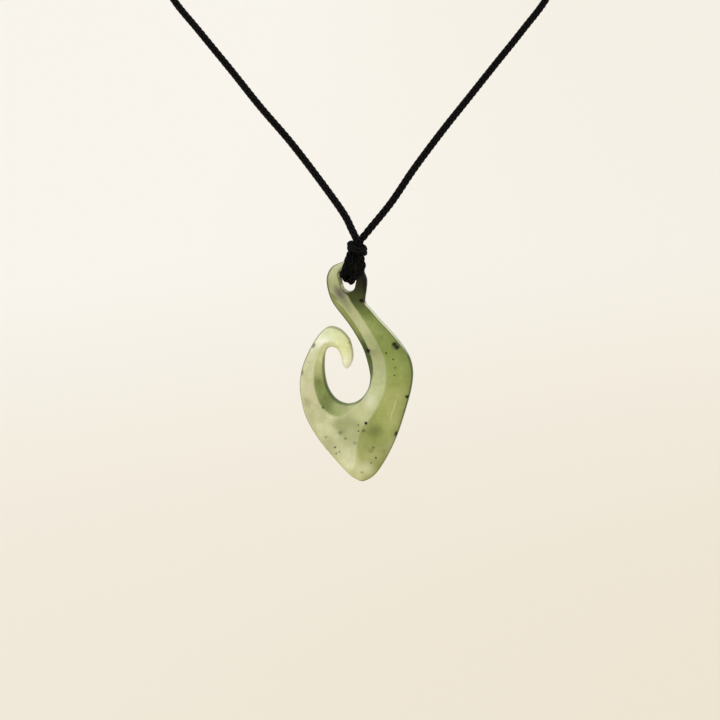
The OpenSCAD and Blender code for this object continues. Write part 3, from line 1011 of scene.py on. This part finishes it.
def clouded(tree, colour, spot):
    """Haze and curds in the stone and faint fibres that run up it. Gives its wavering place too."""
    waver = put(tree, "ShaderNodeTexNoise", {"Vector": spot, "Scale": WAVER_SCALE, "Detail": 2.0}, output=1)
    waver = vector_work(tree, "SUBTRACT", waver, (0.5, 0.5, 0.5))
    place = vector_work(tree, "ADD", spot, scaled(tree, waver, WAVER_REACH))
    colour = toned(tree, mottle(tree, spot, *HAZE), colour, HAZE_TONE)
    colour = toned(tree, mottle(tree, place, *CURDS), colour, CURDS_TONE)
    drawn = put(
        tree, "ShaderNodeMapping",
        {"Vector": place, "Rotation": (0, FIBRES_LEAN, 0), "Scale": FIBRES_DRAWN},
    )
    return toned(tree, mottle(tree, drawn, *FIBRES), colour, FIBRES_TONE), place


def rim_shaded(tree, colour, rib):
    """Painted shade: the edges show darker than the faces."""
    inner = tint_ramp(tree, rib, INNER_RIM_TINTS)
    outer = tint_ramp(tree, rib, OUTER_RIM_TINTS)
    colour = lined(tree, colour, attribute(tree, "inner_gap"), INNER_RIM, inner)
    return lined(tree, colour, attribute(tree, "outer_gap"), OUTER_RIM, outer)


def edge_highlight_and_shade(tree, colour, depth):
    """Painted highlight on the shank's upper right edge and painted sheen down its wall, with a painted
    shade line beside it. Gives the coat's share there too.
    """
    gap = attribute(tree, "outer_gap")
    place = stretch(tree, *EDGE_HIGHLIGHT_RIBS)
    # Painted shade: a dark line beside the edge's highlight
    colour = lined(tree, colour, gap, EDGE_SHADE_LINE, paint(MOSS), place)
    edge = work(tree, "MULTIPLY", place, fading(tree, gap, *EDGE_HIGHLIGHT_WIDTH))
    coat_and_sheen = work(tree, "MULTIPLY", edge, fading(tree, depth, *COAT_AND_SHEEN_DEPTH))
    # Painted sheen down the side wall, then a paler painted highlight on its front
    colour = laid(tree, colour, coat_and_sheen, EDGE_SIDE_SHEEN_SHARE, paint(EDGE_SIDE_SHEEN))
    return laid(tree, colour, edge, fading(tree, depth, *EDGE_FRONT_HIGHLIGHT_DEPTH), paint(EDGE_FRONT_HIGHLIGHT)), coat_and_sheen


def painted_ridge_highlight(tree, colour, front):
    """A painted highlight, a pale line, follows the inner facet line's ridge."""
    place = work(tree, "MULTIPLY", front, stretch(tree, *RIDGE_HIGHLIGHT_RIBS))
    return lined(tree, colour, attribute(tree, "ridge_gap"), RIDGE_HIGHLIGHT, paint(PALE), place)


def patched(tree, colour, place, seen):
    """The clouds and specks, and the painted shadow by the eye, one over the other in their table's order.
    """
    patch = patch_group()
    for x, z, half_x, half_z, turn, softness, share, tint in PATCHES:
        sizes = {
            "Place": place,
            "Middle": (x, 0, z),
            "Half size": (half_x, 1, half_z),
            "Turn": math.radians(turn),
            "Softness": softness,
            "Share": share,
        }
        there = put(tree, "ShaderNodeGroup", sizes, node_tree=patch)
        colour = laid(tree, colour, there, seen, paint(tint))
    return colour


def drilled(tree, colour, spot, place):
    """The drilled wall shows the paler inside of the stone, and a dark line lies along its rim."""
    stains = mottle(tree, spot, *STAINS)
    inside = laid(tree, paint(STONE_INSIDE), stains, STAIN_SHARE, paint(BROWN))
    colour = mixed(tree, attribute(tree, "wall"), colour, inside)
    gap = put(tree, "ShaderNodeGroup", {"Place": place}, node_tree=hole_gap_group())
    off_rim = work(tree, "ABSOLUTE", work(tree, "SUBTRACT", gap, RIM_GAP))
    return lined(tree, colour, off_rim, HOLE_RIM_LINE, paint(DEEP))


def stone_material():
    """Polished pale green stone that the light goes into, with its clouds and dark specks, and painted light
    and shade on its facets and edges.
    """
    made, tree, shader = material("polished greenstone", STONE_FINISH)
    coordinates = put(tree, "ShaderNodeTexCoord", output="Object")
    spot = put(
        tree, "ShaderNodeMapping",
        {"Vector": coordinates, "Location": tuple(HANG_POINT), "Rotation": (0, 0, HOOK_TURN),
         "Scale": (MM, MM, MM)},
        vector_type="TEXTURE",
    )
    rib = work(tree, "DIVIDE", attribute(tree, "rib"), float(LAST_RIB))
    depth = axes(tree, spot)[1]
    front = work(tree, "SUBTRACT", 1.0, attribute(tree, "back"))
    front = work(tree, "MULTIPLY", front, fading(tree, depth, *FRONT_DEPTH))
    seen = work(tree, "MULTIPLY_ADD", fading(tree, depth, *BACK_DEPTH), BACK_SHARE, front)

    colour = zone_tints(tree, rib)
    colour, place = clouded(tree, colour, spot)
    colour = rim_shaded(tree, colour, rib)
    colour, coat_and_sheen = edge_highlight_and_shade(tree, colour, depth)
    colour = painted_ridge_highlight(tree, colour, front)
    colour = patched(tree, colour, place, seen)
    colour = drilled(tree, colour, spot, place)
    colour = toned(tree, 1.0, colour, STONE_LIGHTNESS)
    roughness = between(tree, mottle(tree, spot, *RUBBED), *STONE_ROUGHNESS)
    tree.links.new(colour, shader.inputs["Base Color"])
    tree.links.new(roughness, shader.inputs["Roughness"])
    tree.links.new(coat_and_sheen, shader.inputs["Coat Weight"])
    return made


def make_hook():
    blank, values = stone_blank()
    mesh = cut(blank, hole_cutter())
    kept = carried(blank, values, mesh)
    for column, name in enumerate(STONE_VALUES):
        put_attribute(mesh, name, kept[:, column])
    put_attribute(mesh, "wall", [face.material_index for face in mesh.polygons], "FACE")
    for face in mesh.polygons:
        face.material_index = 0
    mesh.shade_smooth()
    mesh.materials.clear()
    mesh.materials.append(stone_material())
    piece = shown("greenstone_hook", mesh)
    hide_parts("hook")
    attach(piece, "root")


make_hook()


# The lashing's route in the stone's own frame, in millimetres, as in the part: down the right front
# and into the hole, up the back, and two turns over the bar side by side, with the end at the back
BAR_TOP = -4.2
BAR_FACE = 1.75
SEAT = (CORD_D / 2 + LASH_GAP) / MM
TURN_LEFT = HOLE_X - SEAT
TURN_MID = HOLE_X + SEAT - 0.4
TURN_RIGHT = 1.3
TURN_LEAN = 0.28
TURN_FACE = BAR_FACE + SEAT
TURN_OVER = BAR_TOP + SEAT - 0.1
TURN_IN = HOLE_TOP - SEAT - 0.3
TURN_UNDER = TURN_IN - (CORD_D + LASH_GAP) / MM
FIRST_Y = TURN_FACE + 0.1
LASHING_D = 0.0014


def lean(x, y, z):
    """A place on a turn that leans to the right as it rises."""
    return (x + TURN_LEAN * (z - TURN_IN), y, z)


WRAP_ROUTE = [
    (TURN_RIGHT - 0.9, -FIRST_Y + 1.0, BAR_TOP + 1.5),
    (TURN_RIGHT - 0.5, -FIRST_Y + 0.2, BAR_TOP + 0.4),
    (TURN_RIGHT - 0.2, -FIRST_Y, BAR_TOP - 0.6),
    (TURN_RIGHT, -FIRST_Y, BAR_TOP - 2.2),
    (TURN_RIGHT - 0.4, -FIRST_Y, HOLE_TOP - 0.6),
    (TURN_MID + 1.2, -FIRST_Y + 0.1, TURN_IN - 0.7),
    (TURN_MID + 0.2, -1.6, TURN_UNDER - 0.3),
    (TURN_MID, 0, TURN_UNDER - 0.1),
    (TURN_MID, 1.7, TURN_UNDER + 0.3),
    lean(TURN_MID, TURN_FACE + 0.15, TURN_IN),
    lean(TURN_MID, TURN_FACE + 0.15, HOLE_TOP),
    lean(TURN_MID, TURN_FACE, BAR_TOP - 1.2),
    lean(TURN_MID, 1.4, TURN_OVER - 0.35),
    lean(TURN_MID, 0, TURN_OVER + 0.05),
    lean(TURN_MID, -1.4, TURN_OVER - 0.25),
    lean(TURN_MID, -TURN_FACE, BAR_TOP - 1.2),
    lean(TURN_MID, -TURN_FACE, HOLE_TOP),
    lean(TURN_MID - 0.1, -1.9, TURN_IN + 0.1),
    lean(HOLE_X - 0.3, 0, TURN_IN),
    lean(TURN_LEFT - 0.3, 1.9, TURN_IN + 0.1),
    lean(TURN_LEFT, TURN_FACE, HOLE_TOP),
    lean(TURN_LEFT, TURN_FACE - 0.1, BAR_TOP - 1.5),
    lean(TURN_LEFT, 1.4, TURN_OVER - 0.5),
    lean(TURN_LEFT, 0, TURN_OVER - 0.2),
    lean(TURN_LEFT, -1.4, TURN_OVER - 0.5),
    lean(TURN_LEFT, -TURN_FACE + 0.1, BAR_TOP - 1.5),
    lean(TURN_LEFT, -TURN_FACE, HOLE_TOP),
    lean(TURN_LEFT - 0.1, -1.9, TURN_IN - 0.2),
    (TURN_LEFT + 0.1, 0, TURN_UNDER + 0.2),
    (TURN_LEFT + 0.1, 1.9, TURN_UNDER - 0.1),
    (TURN_LEFT, TURN_FACE + 0.4, TURN_UNDER - 0.2),
]


# A few frayed fibres at the left turn, in the stone's own frame in millimetres
FRAYED = [
    [(-3.4, -3.2, -8.3), (-3.9, -3.4, -8.2), (-4.3, -3.3, -8.3), (-4.7, -3.1, -8.2)],
    [(-3.4, -3.1, -8.6), (-3.8, -3.3, -8.8), (-4.1, -3.2, -9.1), (-4.0, -3.1, -9.4)],
    [(-3.5, -3.0, -8.1), (-3.9, -3.4, -7.8), (-4.3, -3.5, -7.9), (-4.5, -3.4, -7.6)],
]
FIBRE_RADII = (0.10, 0.08, 0.06, 0.03)
FIBRE_SIDES = 6


def add_fibre(shape, route):
    """Adds a thin tapered tube along a route to a mesh that is being built."""
    rings = []
    for i, middle in enumerate(route):
        ahead = route[min(i + 1, len(route) - 1)] - route[max(i - 1, 0)]
        side = ahead.cross(Vector((0, 1, 0))).normalized()
        up = ahead.cross(side).normalized()
        ring = []
        for k in range(FIBRE_SIDES):
            turn = math.tau * k / FIBRE_SIDES
            out = side * math.cos(turn) + up * math.sin(turn)
            ring.append(shape.verts.new(middle + out * FIBRE_RADII[i] * MM))
        rings.append(ring)
    for ring, following in zip(rings, rings[1:]):
        for k in range(FIBRE_SIDES):
            right = (k + 1) % FIBRE_SIDES
            shape.faces.new((ring[k], ring[right], following[right], following[k]))
    shape.faces.new(rings[0][::-1])
    shape.faces.new(rings[-1])


def in_stone_frame(points):
    return [STONE_FRAME @ (Vector(point) * MM) for point in points]


def make_lashing():
    lashing = plaited("eye_lashing", in_stone_frame(eased(WRAP_ROUTE, ROUTE_STEPS)), LASHING_D)
    shape = bmesh.new()
    shape.from_mesh(lashing.data)
    for route in FRAYED:
        add_fibre(shape, in_stone_frame(route))
    bmesh.ops.recalc_face_normals(shape, faces=shape.faces)
    shape.to_mesh(lashing.data)
    shape.free()
    lashing.data.shade_smooth()
    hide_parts("eye_wraps")
    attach(lashing, "root")


make_lashing()


# The collar: two turns of the cord's end round the strands, sloping down to the right and crossed
# at the front
COLLAR_MIDDLE = Vector((-0.0003, 0, -0.00245))
COLLAR_SLOPE = math.radians(18)
COLLAR_HALF_X = 0.0017
COLLAR_HALF_Y = 0.0024
COLLAR_CORD_D = 0.00125
COLLAR_SPREAD = 0.00064
COLLAR_STEPS = 48
CROSSING_TURN = 1.5 * math.pi
CROSSING_SPAN = 1.1


def make_collar():
    points = []
    for i in range(2 * COLLAR_STEPS):
        turn = math.tau * i / COLLAR_STEPS
        x = COLLAR_HALF_X * math.cos(turn)
        level = COLLAR_SPREAD * math.cos(turn / 2 - math.pi / 4)
        over = max(0, 1 - abs(turn - CROSSING_TURN) / CROSSING_SPAN)
        reach = COLLAR_HALF_Y + COLLAR_CORD_D * over * over * (3 - 2 * over)
        points.append(
            HANG_POINT + COLLAR_MIDDLE
            + Vector((x, reach * math.sin(turn), level - x * math.tan(COLLAR_SLOPE)))
        )
    collar = plaited("collar_wrap", points, COLLAR_CORD_D, closed=True)
    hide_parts("collar_knot")
    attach(collar, "root")


make_collar()


# Plain pale floor under the hanging pendant, with painted light that makes it paler far off and to the left,
# and soft light
FLOOR_DROP = 0.12
FLOOR_RADIUS = 8.0
FLOOR_SIDES = 64
FLOOR_TINTS = ((238, 229, 211), (250, 247, 240))
FLOOR_FAR = (1.3, 0.1)
FLOOR_LEFT = (-0.3, 0.3)
FLOOR_FAR_SHARE = 0.72
FLOOR_LEFT_SHARE = 0.38
FLOOR_FINISH = {"Roughness": 0.9, "Specular IOR Level": 0.1}
SURROUND_COLOUR = (1.0, 0.99, 0.97, 1)
SURROUND_POWER = 0.85
KEY_FROM = (-0.7, -0.8, 0.7)
KEY_POWER = 0.8
KEY_SPREAD = math.radians(50)


def make_floor():
    made, tree, shader = material("pale floor", FLOOR_FINISH)
    place = axes(tree, put(tree, "ShaderNodeTexCoord", output="Object"))
    # Painted light: the floor's tint grows paler far off and to the left
    left = work(tree, "MULTIPLY", fading(tree, place[0], *FLOOR_LEFT), FLOOR_LEFT_SHARE)
    far = fading(tree, place[1], *FLOOR_FAR)
    share = work(tree, "MULTIPLY_ADD", far, FLOOR_FAR_SHARE, left, clamp=True)
    colour = mixed(tree, share, *(paint(tint) for tint in FLOOR_TINTS))
    tree.links.new(colour, shader.inputs["Base Color"])
    turns = [math.tau * i / FLOOR_SIDES for i in range(FLOOR_SIDES)]
    z = cad_low.z - FLOOR_DROP
    points = [(FLOOR_RADIUS * math.cos(turn), FLOOR_RADIUS * math.sin(turn), z) for turn in turns]
    mesh = bpy.data.meshes.new("floor")
    mesh.from_pydata(points, [], [tuple(range(FLOOR_SIDES))])
    mesh.materials.append(made)
    shown("floor", mesh)


def make_light():
    """A pale surround, and one wide soft light from the upper left of the camera."""
    world = bpy.data.worlds.new("soft surround")
    world.use_nodes = True
    background = world.node_tree.nodes["Background"]
    background.inputs["Color"].default_value = SURROUND_COLOUR
    background.inputs["Strength"].default_value = SURROUND_POWER
    bpy.context.scene.world = world
    lamp = bpy.data.lights.new("key", "SUN")
    lamp.energy = KEY_POWER
    lamp.angle = KEY_SPREAD
    light = bpy.data.objects.new("key", lamp)
    light.rotation_euler = Vector(KEY_FROM).to_track_quat("Z", "Y").to_euler()
    bpy.context.scene.collection.objects.link(light)
    bpy.context.scene.view_settings.view_transform = "Standard"


make_floor()
make_light()
